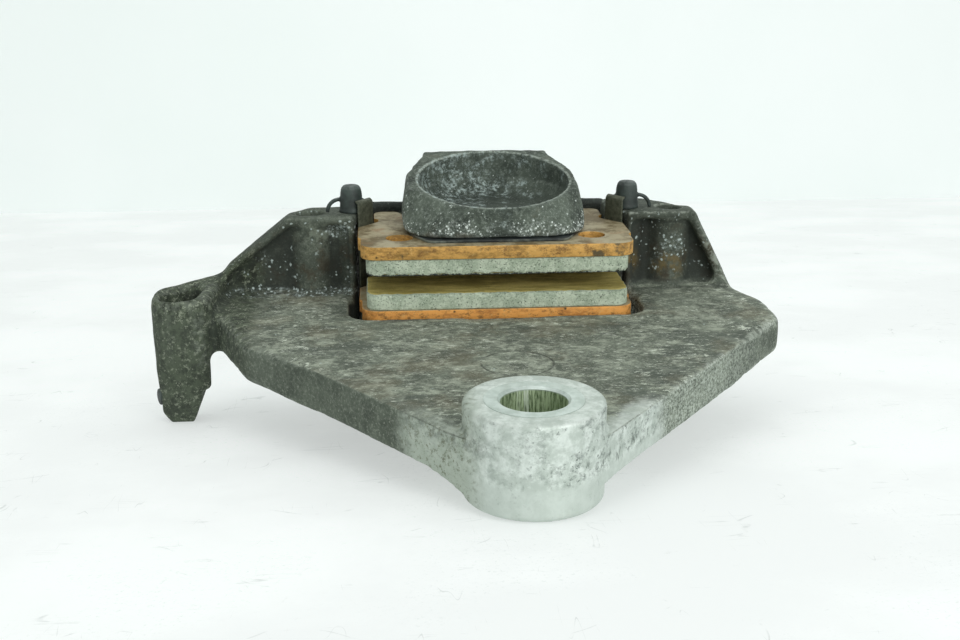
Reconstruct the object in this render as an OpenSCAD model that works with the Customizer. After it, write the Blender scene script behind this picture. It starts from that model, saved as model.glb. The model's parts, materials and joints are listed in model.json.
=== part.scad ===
// Sliding rear brake caliper on its axle bracket, with both pads in place.
// The axle and the disc turn about axes parallel to Z. The origin is on the axle's axis
// at the lower face of the boss. +Y points from the axle to the pads, +Z to the outer pad.

/* [Disc and pads] */
// Diameter of the brake disc that the pads hold
disc_d = 250; // [244:1:252]
// Gap between the two linings with the brake off
lining_gap = 5.7; // [5.5:0.1:6]
// Thickness of a lining
lining_t = 5.4; // [5:0.1:5.6]
// Thickness of a backing plate
plate_t = 4.3; // [4:0.1:4.5]
// Width of a backing plate across its shoulders
pad_w = 88.8; // [87.6:0.2:89.4]
// Height of the disc's middle plane above the boss's lower face
disc_z = 28; // [27.5:0.1:28.5]

/* [Bracket] */
// Diameter of the wheel axle
axle_d = 17; // [12:0.5:20]
// Outer diameter of the axle boss
boss_d = 36; // [34:0.5:37]
// Height of the axle boss
boss_h = 25.3; // [23:0.1:25.3]
// Height of the web's top face
web_top = 17.6; // [17:0.1:18]
// Thickness of the web
web_t = 12.6; // [11:0.2:13.4]
// Height of the towers' top faces
tower_top = 44.4; // [43.8:0.1:45]
// Distance from the axle to the front faces of the towers
tower_front = 122.5; // [122:0.1:123]
// Depth of the torque leg's foot below the boss's lower face
leg_drop = 18; // [14:0.5:20]

/* [Caliper] */
// Diameter of the piston
piston_d = 38; // [34:0.5:39]
// Distance from the axle to the piston's axis
piston_y = 124; // [123:0.5:125]
// Distance of each slide pin from the middle plane
pin_x = 46.6; // [46.4:0.1:47.2]
// Diameter of the slide pins
pin_d = 7; // [6:0.2:7.2]
// Diameter of the round hollow in the outer arm
cup_d = 50; // [44:0.5:50]
// Height of the outer arm's rim at its front
rim_z = 50.9; // [49:0.1:52]

/* [Hidden] */
$fn = 64;
EPS = 0.01;
ARC = 6;                                    // straight pieces in each rounded corner

// Fits
running = 0.05;                             // radial clearance of a moving fit
seated = 0.3;                               // gap between bodies that pass each other

// Web of the bracket
web_z = web_top - web_t;
rib_back = 131.5;                           // back of the web and of the towers' slopes
abut_x = pad_w / 2 + 1.6;                   // inner faces of the towers, beside the shoulders
window_x = 47.8;                            // half width of the web's window
window_front = 94;
tower_back_left = 139;
tower_back_right = 145;
tower_gap = 40.1;                           // half gap between the towers, behind the shoulders
tower_cut = 200;                            // x + y along the cut behind each tower
column_r = 7.4;                             // round columns in the towers: at the hollow,
pin_column_r = 5.7;                         // and at the pin
sleeve_r = 12.3;
sleeve_bevel = 0.7;

// Pads
pad_front = 95;
shoulder_y = 123;
shoulder_in = 6.6;                          // how far a shoulder steps in
shoulder_back = 7.8;                        // and how far back it runs
throat_y = shoulder_y + 1.9;                // where a tower's shoulder face starts
lobe_x = 39.2;
lobe_back = 146;
outer_face = disc_z + lining_gap / 2;       // lining faces
inner_face = disc_z - lining_gap / 2;
outer_top = outer_face + lining_t + plate_t;
inner_bottom = inner_face - lining_t - plate_t;
shim_t = 0.85;
stud_x = 31.1;                              // holes in the backing plates
stud_y = 107.2;
stud_r = 4.3;

// Clips that line the towers' shoulder faces
clip_t = 0.7;
clip_w = 7.2;
clip_start = 1.4;                           // along the shoulder, from its outer end
clip_bend = 0.9;                            // inner radius of the bend
clip_top = 47.3;                            // where the bend starts
shoulder_gap = 1.4;                         // from a shoulder to its tower

// Slide pins
pin_y = 130;
pin_top = 38.5;
lug_z = -13;
lug_t = 7;
collar_t = 3;
bolt_r = 2.45;
boot_r = 5.6;

// Caliper body
bore_floor = -12.3;
housing_z = -17.5;
housing_top = 11.6;
housing_r = piston_d / 2 + 6;
piston_len = 24;
piston_z = inner_bottom - shim_t - piston_len;
arm_z = outer_top + shim_t;
arm_x = 29.8;
arm_front = 100.6;
cup_x = 0.8;
cup_y = 126.3;
cup_floor = 45.5;
cup_fillet = 8;
rim_slope = 0.183;                          // the rim rises towards the bridge
rim_back = 153;
bridge_front = 149.5;
bridge_back = 163;
bridge_x = 43;
bridge_top = 43;
root_z = bridge_top - 6;                    // underside of the arm's root
port_z = -5.5;
port_x = 12.5;
thread_r = 5;                               // brake hose thread, M10
bleed_r = 3.95;
seal_z = 4;
dust_z = 8.6;

// Hollow beside each pin
hollow_left = [-60.2, 130.5, 4.8];
hollow_right = [61.5, 131.2, 4.2];

// Torque leg: plan, and outlines seen from the front and from the right
leg_top = 24;
leg_front = 96.5;
leg_left = -110.9;
leg_right = -92;
plug_r = 2.7;
plug_at = [-102, 105.5, -9.6];
plug_turn = 24;                             // from -X towards -Y

// ---- outline helpers ----------------------------------------------------------------

function flat(p) = [p[0], p[1]];
function unit(v) = v / norm(v);
function wrap(angle) = angle > 180 ? angle - 360 : (angle < -180 ? angle + 360 : angle);

// Points of the arc that rounds corner b, between corners a and c, at radius b[2]
function corner(a, b, c) =
    let (p = flat(b), u = unit(flat(a) - p), v = unit(flat(c) - p), half = acos(u * v) / 2)
    b[2] == 0 ? [p] :
    let (centre = p + unit(u + v) * b[2] / sin(half),
        from = p + u * b[2] / tan(half) - centre,
        to = p + v * b[2] / tan(half) - centre,
        start = atan2(from[1], from[0]),
        sweep = wrap(atan2(to[1], to[0]) - start))
    [for (i = [0:ARC]) let (t = start + sweep * i / ARC) centre + b[2] * [cos(t), sin(t)]];

// Closed outline through corners given as [x, y, corner radius]
function rounded(c) = let (n = len(c))
    [for (i = [0:n - 1]) each corner(c[(i + n - 1) % n], c[i], c[(i + 1) % n])];

// Outline that mirrors its right half onto the left
function mirrored(half) = concat(half, [for (i = [len(half) - 1:-1:0])
    [-half[i][0], half[i][1], half[i][2]]]);

// Arc points around a centre
function arc(centre, r, from, to, n = 8) =
    [for (i = [0:n]) let (t = from + (to - from) * i / n) centre + r * [cos(t), sin(t)]];

// Upright prism between two heights
module prism(z0, z1) translate([0, 0, z0]) linear_extrude(z1 - z0) children();

// Outline in (x, z), extruded from y0 to y1
module along_y(y0, y1) translate([0, y1, 0]) rotate([90, 0, 0]) linear_extrude(y1 - y0)
    children();

// Outline in (y, z), extruded from x0 to x1
module along_x(x0, x1) translate([x0, 0, 0]) rotate([90, 0, 90]) linear_extrude(x1 - x0)
    children();

// Upright cylinder between two heights
module rod(r, z0, z1) translate([0, 0, z0]) cylinder(r = r, h = z1 - z0);

// Cylinder along +Y between two distances from the axle
module rod_y(r, y0, y1) translate([0, y0, 0]) rotate([-90, 0, 0]) cylinder(r = r, h = y1 - y0);

// Children on the chosen side: side 1 is right, -1 is left
module on_side(side) mirror([side < 0 ? 1 : 0, 0, 0]) children();

module both_sides() {
    children();
    mirror([1, 0, 0]) children();
}

// ---- bracket ------------------------------------------------------------------------

// The web's left side leaves the boss at a tangent, with a rib under it
module web() {
    side_turn = 126;
    tangent = [-sin(side_turn), cos(side_turn)];
    rib_t = 6;
    rib_drop = 3.6;
    rib_reach = 22;
    outline = rounded([
        [boss_d * 0.4, -boss_d * 0.3, 0], [89.9, 88.2, 10], [89.9, 108, 18], [80, rib_back, 3],
        [-94, rib_back, 0], [-94, 104, 0], [-89.5, 101, 6], [-78.5, 71.5, 14], [-55, 45, 0],
        boss_d / 2 * concat(tangent, 0)]);
    prism(web_z, web_top) polygon(outline);
    rotate([0, 0, side_turn]) along_y(boss_d / 2 - rib_t, boss_d / 2)
        polygon([[0, web_z - rib_drop], [rib_reach, web_z], [rib_reach, web_z + 1], [0, web_z + 1]]);
}

// Opening for the pads and the caliper: a window in front, open at the back
module window() {
    half = [[window_x, window_front, 8], [window_x, 116, 1], [abut_x, 118, 1],
        [abut_x, throat_y, 0], [tower_gap, throat_y + shoulder_back, 0],
        [tower_gap, tower_back_right + 1, 0]];
    prism(web_z - 1, tower_top + 1) polygon(rounded(mirrored(half)));
}

// One tower on the right side. crest is its outer top corner, foot where its slope ends,
// base its width at the web, in front and behind
module tower(crest, foot, base, back) {
    plan = [[tower_gap - 1, tower_front], [tower_gap - 1, back], [tower_cut - back, back],
        [tower_cut - rib_back, rib_back], [base[1], rib_back], [base[0], tower_front]];
    front = [[tower_gap - 1, web_z], [tower_gap - 1, tower_top], [crest, tower_top], foot,
        [base[0], web_z]];
    intersection() {
        prism(web_z, tower_top) polygon(plan);
        along_y(tower_front - 1, back + 1) polygon(front);
    }
}

// Recess in a tower's front face, around its two round columns
module pocket(outline, hollow, depth) {
    difference() {
        along_y(tower_front - 2, tower_front + depth) polygon(rounded(outline));
        translate([hollow[0], hollow[1], 0]) rod(column_r, web_z, tower_top);
        translate([pin_x, pin_y, 0]) rod(pin_column_r, web_z, tower_top);
    }
}

module torque_leg() {
    plan = rounded([[leg_left, leg_front, 9], [leg_right, leg_front, 4],
        [leg_right - 2.8, 117, 4], [-101, 122, 3], [leg_left, 114.5, 5]]);
    front = [[leg_left, leg_top], [leg_left, 8], [leg_left + 2.4, 4 - leg_drop],
        [leg_left + 5, -leg_drop], [leg_right - 6.8, -leg_drop], [leg_right - 3.4, -9.5],
        [leg_right - 3.4, -6.3], [leg_right, -6.3], [leg_right, leg_top]];
    side = [[leg_front, leg_top], [leg_front, -9], [leg_front + 3.5, -leg_drop],
        [112, -leg_drop], [115, -6], [122, web_z], [122, leg_top]];
    intersection() {
        prism(-leg_drop, leg_top) polygon(plan);
        along_y(leg_front - 1, 132) polygon(front);
        along_x(leg_left - 1, leg_right + 1) polygon(side);
    }
    neck = rounded([[-95, 101, 0], [leg_right + 0.5, 100, 1], [leg_right + 3, rib_back, 0],
        [leg_right - 1, rib_back, 2], [-104, 120.5, 0], [-101, 118.5, 0], [-95.3, 118, 0]]);
    prism(web_z, leg_top) polygon(neck);
}

module leg_hollow() {
    plan = rounded([[leg_left + 3, leg_front + 3.1, 5.4], [-97.5, leg_front + 3.1, 3.5],
        [-94.8, 121, 2.5], [leg_left + 3, 110, 4]]);
    prism(0, leg_top + 1) polygon(plan);
}

// Places children at the plug in the leg's side, drawn along +Z and pointing outwards
module at_plug() translate(plug_at) rotate([0, 0, plug_turn]) rotate([0, -90, 0]) children();

module boss() {
    bevel = 0.8;
    r = boss_d / 2;
    rotate_extrude() polygon([[0, 0], [r - bevel, 0], [r, bevel], [r, boss_h - bevel],
        [r - bevel, boss_h], [0, boss_h]]);
}

module pin_hole() {
    translate([pin_x, pin_y, 0]) {
        rod(pin_d / 2 + running, web_z - 1, tower_top - 3);
        rod(1.6, web_z, tower_top + 1);
        rod(boot_r + 0.1, web_z - 1, web_z + 2);
    }
}

module carrier_bracket() {
    pocket_left = [[47, web_top, 0], [47, 41.5, 2], [66.4, 41.5, 2], [88, 24.4, 1],
        [89.5, web_top, 0]];
    apron_z = web_top + 0.8;
    depth_right = 6.5;
    depth_left = 4.6;
    pocket_right = [[47, apron_z, 3], [47, 41.5, 2], [67.1, 41.5, 2], [79, apron_z, 3]];
    color("#585d57") difference() {
        union() {
            boss();
            web();
            tower(69, [83, web_top], [83, 79], tower_back_right);
            mirror([1, 0, 0]) tower(67.4, [89.5, 26.5], [93, 93], tower_back_left);
            torque_leg();
        }
        rod(sleeve_r, -1, boss_h + 1);
        window();
        pocket(pocket_right, hollow_right, depth_right);
        mirror([1, 0, 0]) pocket(pocket_left, [-hollow_left[0], hollow_left[1]], depth_left);
        both_sides() pin_hole();
        for (h = [hollow_left, hollow_right])
            translate([h[0], h[1], 0]) rod(h[2], tower_top - 9, tower_top + 1);
        leg_hollow();
        at_plug() cylinder(r = plug_r, h = 14);
    }
}

// Pressed sleeve that the wheel axle passes through
module axle_sleeve() {
    r = axle_d / 2;
    b = sleeve_bevel;
    color("#c4ccc5") rotate_extrude() polygon([[r, 0], [sleeve_r, 0], [sleeve_r, boss_h],
        [r + b, boss_h], [r, boss_h - b]]);
}

module leg_plug() {
    color("#23272a") at_plug() translate([0, 0, 4]) cylinder(r = plug_r, h = 4.6);
}

// Sprung strip between a shoulder and its tower, bent back over the tower's top
module pad_clip(side) {
    bend_y = -shoulder_gap - clip_bend;
    outline = concat(
        [[-shoulder_gap, web_z + 2], [-shoulder_gap + clip_t, web_z + 2]],
        arc([bend_y, clip_top], clip_bend + clip_t, 0, 90),
        arc([bend_y, clip_top], clip_bend, 90, 0));
    turn = 180 - atan2(shoulder_back, shoulder_in);
    color("#5c5e4c") on_side(side) translate([pad_w / 2, shoulder_y, 0]) rotate([0, 0, turn])
        along_x(clip_start, clip_start + clip_w) polygon(outline);
}

// Quarter hoop of the cap's strap, from a height z down to the tower's top
module strap(z, reach, r) {
    translate([0, 0, tower_top]) rotate([90, 0, 0]) intersection() {
        translate([reach - (z - tower_top), 0, 0]) rotate_extrude()
            translate([z - tower_top, 0]) circle(r = r);
        translate([reach - (z - tower_top), 0, -5]) cube([20, 20, 10]);
    }
}

// Rubber cap over a pin's hole, with a strap on each side
module pin_cap(side) {
    color("#2b3034") on_side(side) translate([pin_x, pin_y, 0]) {
        translate([0, 0, tower_top]) rotate_extrude() polygon([[0, -2.5], [1.6, -2.5], [1.6, 0],
            [4.1, 0], [4.1, 0.9], [3.9, 1.2], [3.6, 6.3], [3.3, 7.9], [2.6, 8.9], [0, 9.2]]);
        strap(tower_top + 4.2, 8, 0.7);
        translate([0, 1.4, 0]) mirror([1, 0, 0]) strap(tower_top + 4.2, 5.7, 0.7);
    }
}

// ---- caliper ------------------------------------------------------------------------

// Outer arm: rounded in front, its back corners cut off, its rim rising to the bridge.
// Its front corners lean in towards the rim of the cup, as a cone
module outer_arm() {
    half = [[arm_x, arm_front, 14], [arm_x, 128, 10], [22, 150.5, 3], [22, bridge_back, 3]];
    root_y = bridge_front + 1;
    arm_high = 62;
    height = arm_high - root_z;
    cone_r = 35.8;
    lean = 0.41;
    side = [[arm_front - 1, arm_z], [arm_front - 1, rim_z], [rim_back, rim_z + rim_slope
        * (rim_back - arm_front)], [bridge_back, 50], [bridge_back, root_z],
        [root_y, root_z], [root_y, arm_z]];
    front = [[-arm_x, root_z], [-arm_x, 47], [-arm_x + 2.2, 58.5], [-20, arm_high],
        [20, arm_high], [arm_x - 2.2, 58.5], [arm_x, 47], [arm_x, root_z]];
    intersection() {
        prism(root_z, arm_high) polygon(rounded(mirrored(half)));
        along_x(-arm_x - 1, arm_x + 1) polygon(side);
        along_y(arm_front - 1, bridge_back + 1) polygon(front);
        union() {
            translate([0, cup_y, root_z])
                cylinder(r1 = cone_r, r2 = cone_r - lean * height, h = height);
            along_y(cup_y, bridge_back + 1) polygon(front);
        }
    }
}

module cup_hollow() {
    r = cup_d / 2;
    profile = concat([[0, 75], [0, cup_floor]],
        arc([r - cup_fillet, cup_floor + cup_fillet], cup_fillet, -90, 0, 5), [[r, 75]]);
    translate([cup_x, cup_y, 0]) rotate_extrude() polygon(profile);
}

module bridge() {
    front = [[-bridge_x, bridge_top], [-bridge_x, 14], [-27, -12], [27, -12],
        [bridge_x, 14], [bridge_x, bridge_top]];
    plan = rounded([[-bridge_x, bridge_front, 2], [bridge_x, bridge_front, 2],
        [bridge_x, bridge_back, 6], [-bridge_x, bridge_back, 6]]);
    side = [[bridge_front - 1, -12], [bridge_front - 1, bridge_top - 1.5],
        [bridge_front + 1.5, bridge_top], [bridge_front + 5, bridge_top - 0.7],
        [bridge_back, bridge_top - 5], [bridge_back + 1, -12]];
    intersection() {
        prism(-12, bridge_top) polygon(plan);
        along_y(bridge_front - 1, bridge_back + 1) polygon(front);
        along_x(-bridge_x - 1, bridge_x + 1) polygon(side);
    }
}

module housing() {
    block = rounded([[-23, 128, 0], [23, 128, 0], [23, bridge_back, 4],
        [-23, bridge_back, 4]]);
    translate([0, piston_y, 0]) rod(housing_r, housing_z, housing_top);
    prism(housing_z, housing_top) polygon(block);
}

module lugs() {
    both_sides() translate([pin_x, pin_y, 0]) rod(9, lug_z, lug_z + lug_t);
    half = [[20, 111, 0], [pin_x, pin_y - 9, 0], [pin_x, pin_y + 9, 0], [20, 143, 0]];
    prism(lug_z, lug_z + lug_t) polygon(rounded(mirrored(half)));
}

module caliper_body() {
    bore_r = piston_d / 2 + running;
    color("#565b56") difference() {
        union() {
            outer_arm();
            bridge();
            housing();
            lugs();
        }
        cup_hollow();
        translate([0, piston_y, 0]) {
            rod(bore_r, bore_floor, housing_top + 1);
            rod(bore_r + 2.6, seal_z, seal_z + 3);
            rod(bore_r + 2.2, dust_z, dust_z + 1.8);
        }
        both_sides() translate([pin_x, pin_y, 0]) rod(bolt_r + 0.2, lug_z - 1, lug_z + lug_t + 1);
        translate([port_x, 0, port_z]) {
            rod_y(thread_r, bridge_back - 14, bridge_back + 1);
            rod_y(8, bridge_back - 0.8, bridge_back + 1);
            rod_y(1.4, piston_y + bore_r - 3.5, bridge_back);
        }
        translate([-port_x, 0, port_z]) {
            rod_y(bleed_r + running, bridge_back - 13, bridge_back + 1);
            rod_y(1.4, piston_y + bore_r - 3.5, bridge_back);
        }
    }
}

module slide_pin(side) {
    base = lug_z + lug_t;
    color("#b9bdbb") on_side(side) translate([pin_x, pin_y, 0]) difference() {
        union() {
            rod(pin_d / 2, base + collar_t - EPS, pin_top);
            translate([0, 0, base]) cylinder(r = 5.5, h = collar_t, $fn = 6);
        }
        rod(bolt_r + running, base - 1, base + 12);
    }
}

module pin_bolts() {
    color("#8d9090") both_sides() translate([pin_x, pin_y, 0]) {
        translate([0, 0, lug_z - 4]) cylinder(r = 5.2, h = 4, $fn = 6);
        rod(bolt_r, lug_z - EPS, lug_z + lug_t + 11);
    }
}

// Bellows between a lug and its tower
module pin_boot(side) {
    low = lug_z + lug_t + collar_t;
    high = web_z + 2;
    folds = 3;
    pitch = (high - low - 2) / folds;
    inner = pin_d / 2 + 0.2;
    valley = boot_r - 1;
    outside = [for (i = [0:folds - 1]) each [[valley, low + 1 + i * pitch],
        [boot_r, low + 1 + (i + 0.5) * pitch]]];
    inside = [for (i = [folds - 1:-1:0]) each [[boot_r - 0.9, low + 1 + (i + 0.5) * pitch],
        [inner + 0.2, low + 1 + i * pitch]]];
    color("#1f2224") on_side(side) translate([pin_x, pin_y, 0]) rotate_extrude() polygon(
        concat([[inner, low], [valley, low]], outside, [[valley, high - 1], [boot_r, high - 1],
        [boot_r, high], [inner, high], [inner, high - 1]], inside));
}

module bore_ring(z, h, depth) {
    color("#1d1f20") translate([0, piston_y, 0]) difference() {
        rod(piston_d / 2 + running + depth, z, z + h);
        rod(piston_d / 2 + running, z - 1, z + h + 1);
    }
}

module piston_seal() bore_ring(seal_z, 3, 2.6);

module dust_seal() bore_ring(dust_z, 1.8, 2.2);

// Leaf spring that holds the pads down in the towers, fixed to the bridge
module pad_spring() {
    t = 0.5;
    sag = 2.6;
    span = 34;
    r = (span * span + sag * sag) / (2 * sag);
    half_angle = asin(span / r);
    centre = [0, bridge_front - r];
    outline = concat(arc(centre, r, 90 - half_angle, 90 + half_angle, 16),
        arc(centre, r - t, 90 + half_angle, 90 - half_angle, 16));
    color("#8a8a72") prism(16, 40) polygon(outline);
}

module piston() {
    r = piston_d / 2;
    top = piston_z + piston_len;
    color("#c9cccb") translate([0, piston_y, 0]) rotate_extrude() polygon([
        [0, piston_z], [r - 1, piston_z], [r, piston_z + 1], [r, top - 2.2], [r - 1, top - 2],
        [r - 1, top], [r - 4.5, top], [r - 4.5, piston_z + 5.5], [0, piston_z + 5.5]]);
}

module bleed_screw() {
    y0 = bridge_back - 12.4;
    hex_r = 4.6;
    hex_h = 4;
    nipple_r = 2.6;
    bead_r = 3;
    nipple_end = bridge_back + 10.5;
    color("#b59a55") translate([-port_x, 0, port_z]) difference() {
        union() {
            rod_y(bleed_r, y0, bridge_back + 0.5);
            translate([0, bridge_back + seated, 0]) rotate([-90, 0, 0])
                cylinder(r = hex_r, h = hex_h, $fn = 6);
            rod_y(nipple_r, bridge_back + hex_h, nipple_end);
            rod_y(bead_r, nipple_end - 2.5, nipple_end - 1);
        }
        rod_y(1, y0 + 3, nipple_end + 0.5);
    }
}

module bleed_cap() {
    color("#24282b") translate([-port_x, 0, port_z]) difference() {
        rod_y(4.2, bridge_back + 4.4, bridge_back + 12);
        rod_y(3, bridge_back + 4, bridge_back + 10.5);
    }
}

// ---- pads ---------------------------------------------------------------------------

module backing_plate(z) {
    x = pad_w / 2;
    half = [[x - 0.9, pad_front, 5.5], [x - 0.9, 107.5, 0.6], [x, 109, 0.6],
        [x, shoulder_y, 0.8], [x - shoulder_in, shoulder_y + shoulder_back, 0.6],
        [x - shoulder_in, 134, 0.6], [lobe_x, 135.5, 0.6], [lobe_x, lobe_back, 3],
        [x - 13, lobe_back, 3], [x - 17, 137, 4]];
    color("#b4703a") difference() {
        prism(z, z + plate_t) polygon(rounded(mirrored(half)));
        both_sides() translate([stud_x, stud_y, 0]) rod(stud_r, z - 1, z + plate_t + 1);
    }
}

module lining(z) {
    x = 41.9;
    half = [[x, pad_front + 0.6, 4], [x, disc_d / 2 + 2, 0]];
    color("#a9b39d") intersection() {
        prism(z, z + lining_t) polygon(rounded(mirrored(half)));
        rod(disc_d / 2 - 0.5, z - 1, z + lining_t + 1);
    }
}

module inner_backing_plate() backing_plate(inner_bottom);

module outer_backing_plate() backing_plate(outer_top - plate_t);

module inner_lining() lining(inner_face - lining_t);

module outer_lining() lining(outer_face);

module inner_shim() {
    half = [[25, 100, 6], [29, 112, 6], [29, 136, 4]];
    color("#2a2d2e") prism(inner_bottom - shim_t, inner_bottom) polygon(rounded(mirrored(half)));
}

module outer_shim() {
    half = [[22, 98.9, 4], [27.5, 110, 4], [27.5, 136, 4]];
    color("#1c2022") prism(outer_top, outer_top + shim_t) polygon(rounded(mirrored(half)));
}

carrier_bracket();
axle_sleeve();
leg_plug();
pad_clip(-1);  // pad_clip_left
pad_clip(1);  // pad_clip_right
pin_cap(-1);  // pin_cap_left
pin_cap(1);  // pin_cap_right
caliper_body();
slide_pin(-1);  // slide_pin_left
slide_pin(1);  // slide_pin_right
pin_bolts();
pin_boot(-1);  // pin_boot_left
pin_boot(1);  // pin_boot_right
piston_seal();
dust_seal();
pad_spring();
piston();
bleed_screw();
bleed_cap();
inner_backing_plate();
inner_lining();
inner_shim();
outer_backing_plate();
outer_lining();
outer_shim();
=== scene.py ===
"""Looks of a motorcycle's rear brake caliper on its axle bracket. Lengths are in metres,
in the CAD model's own frame: the axle's axis is Z, and the pads lie towards +Y."""
import json
import math

import bmesh
import bpy
import numpy as np
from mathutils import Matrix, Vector


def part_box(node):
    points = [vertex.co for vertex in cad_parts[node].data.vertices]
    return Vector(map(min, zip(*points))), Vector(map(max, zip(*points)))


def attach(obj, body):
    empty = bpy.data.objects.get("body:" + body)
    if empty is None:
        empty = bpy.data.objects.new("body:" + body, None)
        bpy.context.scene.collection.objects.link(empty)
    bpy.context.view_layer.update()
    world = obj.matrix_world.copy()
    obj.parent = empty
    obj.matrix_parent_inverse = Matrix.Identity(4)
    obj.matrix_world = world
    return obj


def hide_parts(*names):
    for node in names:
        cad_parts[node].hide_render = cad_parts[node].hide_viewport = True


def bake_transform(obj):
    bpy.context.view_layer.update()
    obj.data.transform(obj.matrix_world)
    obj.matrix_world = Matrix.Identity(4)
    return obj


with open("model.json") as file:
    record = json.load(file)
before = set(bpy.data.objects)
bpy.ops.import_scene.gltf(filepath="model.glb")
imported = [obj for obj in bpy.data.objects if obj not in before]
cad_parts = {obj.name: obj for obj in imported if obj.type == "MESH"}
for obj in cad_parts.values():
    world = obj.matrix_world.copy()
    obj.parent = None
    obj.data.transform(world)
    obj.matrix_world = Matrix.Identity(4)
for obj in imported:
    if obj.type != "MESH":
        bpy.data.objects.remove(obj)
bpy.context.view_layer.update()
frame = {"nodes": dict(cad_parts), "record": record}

MM = 0.001
NODES = frame["nodes"]
RECORD = frame["record"]
BODY_OF = {n: b for b, nodes in RECORD["behaviour"]["bodies"].items() for n in nodes}


def low(node):
    """Lowest corner of a CAD node, in millimetres."""
    return Vector(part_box(node)[0]) / MM


def high(node):
    """Highest corner of a CAD node, in millimetres."""
    return Vector(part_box(node)[1]) / MM


# Places that several pieces and materials need, in millimetres
BOSS_R = -low("carrier_bracket").y
BOSS_TOP = high("axle_sleeve").z
WEB_TOP = 17.6
SLEEVE_R = high("axle_sleeve").x
BORE_R = 8.5
PIN_X = (low("pin_boot_right").x + high("pin_boot_right").x) / 2
PIN_Y = (low("pin_boot_right").y + high("pin_boot_right").y) / 2
PISTON_Y = (low("piston").y + high("piston").y) / 2
CUP_X, CUP_Y, CUP_R = 0.8, 126.3, 25.0
ARM_FRONT, ARM_Z = 100.6, high("outer_shim").z
RIM_Z, RIM_SLOPE = 50.9, 0.183
# The web's two straight sides, as a point and a direction
RIGHT_SIDE = ((14.4, -10.8), (0.606, 0.795))
LEFT_SIDE = ((-55.0, 45.0), (-0.588, 0.809))
# Noise stretched round a turned piece, so that it looks like tool marks
TURNED = (5, 5, 0.6)


# ---- noise on mesh points -----------------------------------------------------------

def lattice(cell, seed):
    """A random number from 0 to 1 for each whole-number point."""
    mixed = (cell * np.array([374761393, 668265263, 1440662683])).sum(axis=1)
    mixed = (mixed + seed * 1274126177) & 0xFFFFFFFF
    mixed = ((mixed ^ (mixed >> 13)) * 1274126177) & 0xFFFFFFFF
    return ((mixed ^ (mixed >> 16)) & 0xFFFF) / 65535.0


def bumps(points, size, seed):
    """Smooth noise from -1 to 1, with its bumps about `size` millimetres apart."""
    place = points / (size * MM)
    cell = np.floor(place).astype(np.int64)
    part = place - cell
    part = part * part * (3 - 2 * part)
    total = np.zeros(len(points))
    for corner in np.ndindex(2, 2, 2):
        weight = np.where(corner, part, 1 - part).prod(axis=1)
        total += weight * lattice(cell + np.array(corner), seed)
    return total * 2 - 1


def ramp(value, start, end):
    """0 at start and 1 at end, smooth between them."""
    t = np.clip((value - start) / (end - start), 0, 1)
    return t * t * (3 - 2 * t)


# ---- meshes -------------------------------------------------------------------------

def show(name, data):
    """Puts a mesh, lamp or camera in the scene as an object."""
    piece = bpy.data.objects.new(name, data)
    bpy.context.scene.collection.objects.link(piece)
    return piece


def stands_for(piece, *nodes):
    """The piece takes the place of CAD nodes and rides on the first one's body."""
    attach(piece, BODY_OF[nodes[0]])
    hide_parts(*nodes)


def vectors(collection, field):
    """A mesh's list of 3-vectors as an array."""
    values = np.empty(len(collection) * 3)
    collection.foreach_get(field, values)
    return values.reshape(-1, 3)


def move_points(mesh, points):
    """Gives the mesh's points new places."""
    mesh.vertices.foreach_set("co", points.ravel())
    mesh.update()


def smooth_shading(mesh, sharp_degrees=None):
    """Smooth faces, with crisp edges where they meet at more than the angle."""
    mesh.polygons.foreach_set("use_smooth", [True] * len(mesh.polygons))
    if sharp_degrees:
        mesh.set_sharp_from_angle(angle=math.radians(sharp_degrees))


def applied(piece):
    """The piece with its modifiers turned into plain mesh."""
    graph = bpy.context.evaluated_depsgraph_get()
    mesh = bpy.data.meshes.new_from_object(piece.evaluated_get(graph))
    piece.modifiers.clear()
    piece.data = mesh
    return piece


def voxels(node, name, size):
    """A copy of a CAD node as an even grid of small quads."""
    piece = show(name, NODES[node].data.copy())
    piece.data.materials.clear()
    remesh = piece.modifiers.new("voxels", "REMESH")
    remesh.mode = "VOXEL"
    remesh.voxel_size = size * MM
    return applied(piece)


def relaxed(points, edges, share, rounds):
    """Moves every point part of the way to the middle of its neighbours, several times."""
    first, second = edges[:, 0], edges[:, 1]
    count = np.bincount(edges.ravel(), minlength=len(points))[:, None]
    for _ in range(rounds):
        total = np.empty_like(points)
        for axis in range(3):
            total[:, axis] = np.bincount(first, points[second, axis], len(points))
            total[:, axis] += np.bincount(second, points[first, axis], len(points))
        points = points + share[:, None] * (total / count - points)
    return points


def weathered(piece, passes, relief):
    """Rounds a cast piece's edges in passes of (share at each point, rounds), then roughens
    it. The attribute "edge" is above 0 where an edge was worn round and below 0 in a corner
    that was filled, and 1 or -1 at the full depth."""
    full_depth = 0.4 * MM
    mesh = piece.data
    crisp = vectors(mesh.vertices, "co")
    edges = np.empty(len(mesh.edges) * 2, dtype=np.int32)
    mesh.edges.foreach_get("vertices", edges)
    soft = crisp
    for share, rounds in passes:
        soft = relaxed(soft, edges.reshape(-1, 2), share(crisp / MM), rounds)
    move_points(mesh, soft)
    out = vectors(mesh.vertex_normals, "vector")
    edge = ((crisp - soft) * out).sum(axis=1) / full_depth
    rough = soft + out * (relief(soft, out, edge) * MM)[:, None]
    move_points(mesh, np.clip(rough, crisp.min(axis=0), crisp.max(axis=0)))
    mesh.attributes.new("edge", "FLOAT", "POINT").data.foreach_set("value", edge)
    smooth_shading(mesh)
    return piece


def evenly(share):
    """The same share at every point."""
    return lambda points: np.full(len(points), share)


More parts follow.
